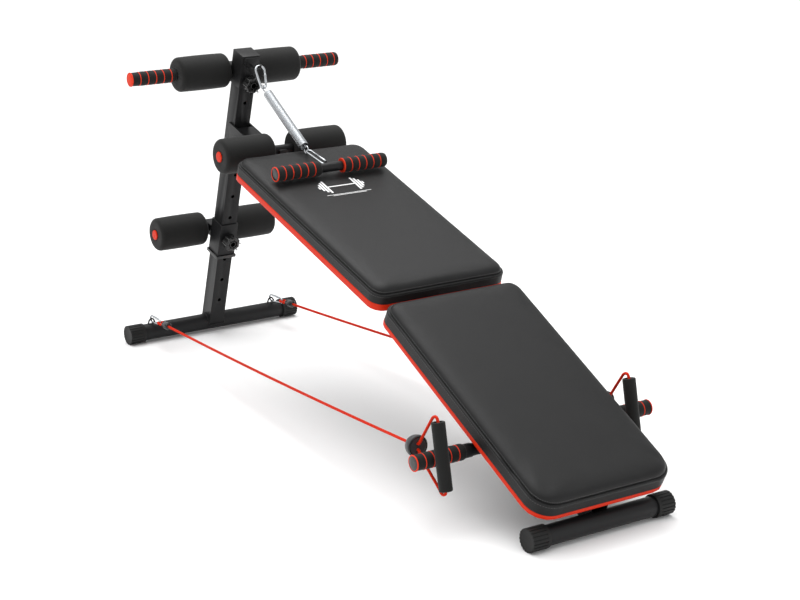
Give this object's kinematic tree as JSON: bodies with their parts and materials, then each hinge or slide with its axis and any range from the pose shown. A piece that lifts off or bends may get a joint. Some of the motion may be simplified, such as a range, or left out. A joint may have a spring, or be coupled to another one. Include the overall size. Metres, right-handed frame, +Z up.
{
  "type": "decline_sit_up_bench",
  "caption": "Decline sit-up bench with angled pads, foam rollers, an adjustable ankle bar, a spring pull bar and red resistance ropes with handles",
  "frame": {"origin": "centre of the bounding box on the floor plane", "axes": "+X along the bench from the high end with the upright to the low end, +Y to the right of a person looking along +X, +Z up"},
  "size_m": [1.577, 0.57, 0.7307],
  "materials": {
    "frame_paint": "satin black powder coat",
    "cap_rubber": "ribbed matte black",
    "bright_steel": "bright plated",
    "black_foam": "fine grained foam",
    "red_plastic": "smooth red",
    "black_plastic": "moulded semi-gloss",
    "pad_vinyl": "satin upholstery vinyl, fine grain",
    "red_cord": "braided cover"
  },
  "bodies": {
    "frame": {"rear_base_tube": "frame_paint", "rear_base_cap_left": "cap_rubber", "rear_base_cap_right": "cap_rubber", "front_base_tube": "frame_paint", "front_base_cap_left": "cap_rubber", "front_base_cap_right": "cap_rubber", "upright_tube": "frame_paint", "bracket_plate_left": "frame_paint", "bracket_plate_right": "frame_paint", "bracket_bolt_upper": "bright_steel", "bracket_bolt_lower": "bright_steel", "main_beam": "frame_paint", "knee_roller_tube": "frame_paint", "knee_plug_left": "red_plastic", "knee_plug_right": "red_plastic", "upper_pad": "pad_vinyl", "upper_pad_board": "red_plastic", "lower_pad": "pad_vinyl", "lower_pad_board": "red_plastic", "front_grip_bar": "frame_paint", "front_grip_left": "black_foam", "front_grip_right": "black_foam", "rope_carabiner_left": "bright_steel", "rope_clamp_left": "black_plastic", "rope_cord_left": "red_cord", "rope_carabiner_right": "bright_steel", "rope_clamp_right": "black_plastic", "rope_cord_right": "red_cord"},
    "ankle_carriage": {"ankle_sleeve": "frame_paint", "ankle_sleeve_bush": "black_plastic", "ankle_roller_tube": "frame_paint", "ankle_plug_left": "red_plastic", "ankle_plug_right": "red_plastic"},
    "top_carriage": {"top_sleeve": "frame_paint", "hook_plate": "frame_paint", "top_bar": "frame_paint", "top_grip_left": "black_foam", "top_grip_right": "black_foam"},
    "ankle_knob": {"ankle_knob": "black_plastic"},
    "top_knob": {"top_knob": "black_plastic"},
    "spring_hook": {"spring_carabiner": "bright_steel"},
    "spring": {"pull_spring": "bright_steel"},
    "spring_end": {"spring_ring": "bright_steel"},
    "pull_bar": {"snap_clip": "bright_steel", "pull_bar": "frame_paint", "pull_grip_left": "black_foam", "pull_grip_right": "black_foam"},
    "knee_roller_left": {"knee_roller_left": "black_foam"},
    "knee_roller_right": {"knee_roller_right": "black_foam"},
    "ankle_roller_left": {"ankle_roller_left": "black_foam"},
    "ankle_roller_right": {"ankle_roller_right": "black_foam"},
    "top_roller_left": {"top_roller_left": "black_foam"},
    "top_roller_right": {"top_roller_right": "black_foam"},
    "rope_handle_left": {"rope_handle_left": "black_foam", "handle_strand_left": "red_cord", "rope_stopper_left": "black_plastic"},
    "rope_handle_right": {"rope_handle_right": "black_foam", "handle_strand_right": "red_cord", "rope_stopper_right": "black_plastic"}
  },
  "joints": [
    {"name": "ankle_carriage_slide", "type": "slide", "parent": "frame", "child": "ankle_carriage", "axis": [0.279, 0, 0.9603], "range_m": [-0.116, 0.174]},
    {"name": "top_carriage_slide", "type": "slide", "parent": "frame", "child": "top_carriage", "axis": [0.279, 0, 0.9603], "range_m": [0, 0.04]},
    {"name": "ankle_knob_turn", "type": "hinge", "parent": "ankle_carriage", "child": "ankle_knob", "pos_m": [-0.65824, 0, 0.24731], "axis": [0.9603, 0, -0.279], "continuous": true},
    {"name": "top_knob_turn", "type": "hinge", "parent": "top_carriage", "child": "top_knob", "pos_m": [-0.5405, 0, 0.65256], "axis": [0.9603, 0, -0.279], "continuous": true},
    {"name": "knee_roller_left_turn", "type": "hinge", "parent": "frame", "child": "knee_roller_left", "pos_m": [-0.41395, 0, 0.52217], "axis": [0, 1, 0], "continuous": true},
    {"name": "knee_roller_right_turn", "type": "hinge", "parent": "frame", "child": "knee_roller_right", "pos_m": [-0.41395, 0, 0.52217], "axis": [0, 1, 0], "continuous": true},
    {"name": "ankle_roller_left_turn", "type": "hinge", "parent": "ankle_carriage", "child": "ankle_roller_left", "pos_m": [-0.74954, 0, 0.26853], "axis": [0, 1, 0], "continuous": true},
    {"name": "ankle_roller_right_turn", "type": "hinge", "parent": "ankle_carriage", "child": "ankle_roller_right", "pos_m": [-0.74954, 0, 0.26853], "axis": [0, 1, 0], "continuous": true},
    {"name": "top_roller_left_turn", "type": "hinge", "parent": "top_carriage", "child": "top_roller_left", "pos_m": [-0.61587, 0, 0.67737], "axis": [0, 1, 0], "continuous": true},
    {"name": "top_roller_right_turn", "type": "hinge", "parent": "top_carriage", "child": "top_roller_right", "pos_m": [-0.61587, 0, 0.67737], "axis": [0, 1, 0], "continuous": true},
    {"name": "spring_hook_swing", "type": "hinge", "parent": "top_carriage", "child": "spring_hook", "pos_m": [-0.506, 0, 0.7], "axis": [0, 1, 0], "range_deg": [-60, 0]},
    {"name": "spring_swing", "type": "hinge", "parent": "spring_hook", "child": "spring", "pos_m": [-0.485, 0, 0.652], "axis": [0, 1, 0], "range_deg": [-23, 0]},
    {"name": "spring_stretch", "type": "slide", "parent": "spring", "child": "spring_end", "axis": [0.86, 0, -0.5103], "range_m": [0, 0.25], "stiffness_N_per_m": 250, "springref_m": -0.03, "deforming": ["pull_spring"]},
    {"name": "pull_bar_swing", "type": "hinge", "parent": "spring_end", "child": "pull_bar", "pos_m": [-0.29813, 0, 0.54144], "axis": [0, 1, 0], "range_deg": [-60, 0]},
    {"name": "rope_handle_left_slide", "type": "slide", "parent": "frame", "child": "rope_handle_left", "axis": [0, -1, 0], "range_m": [0, 0.06]},
    {"name": "rope_handle_right_slide", "type": "slide", "parent": "frame", "child": "rope_handle_right", "axis": [0, 1, 0], "range_m": [0, 0.08]}
  ],
  "couplings": [
    {"joint": "spring_swing", "follows": "spring_stretch", "rad_per_m": -1.6}
  ]
}
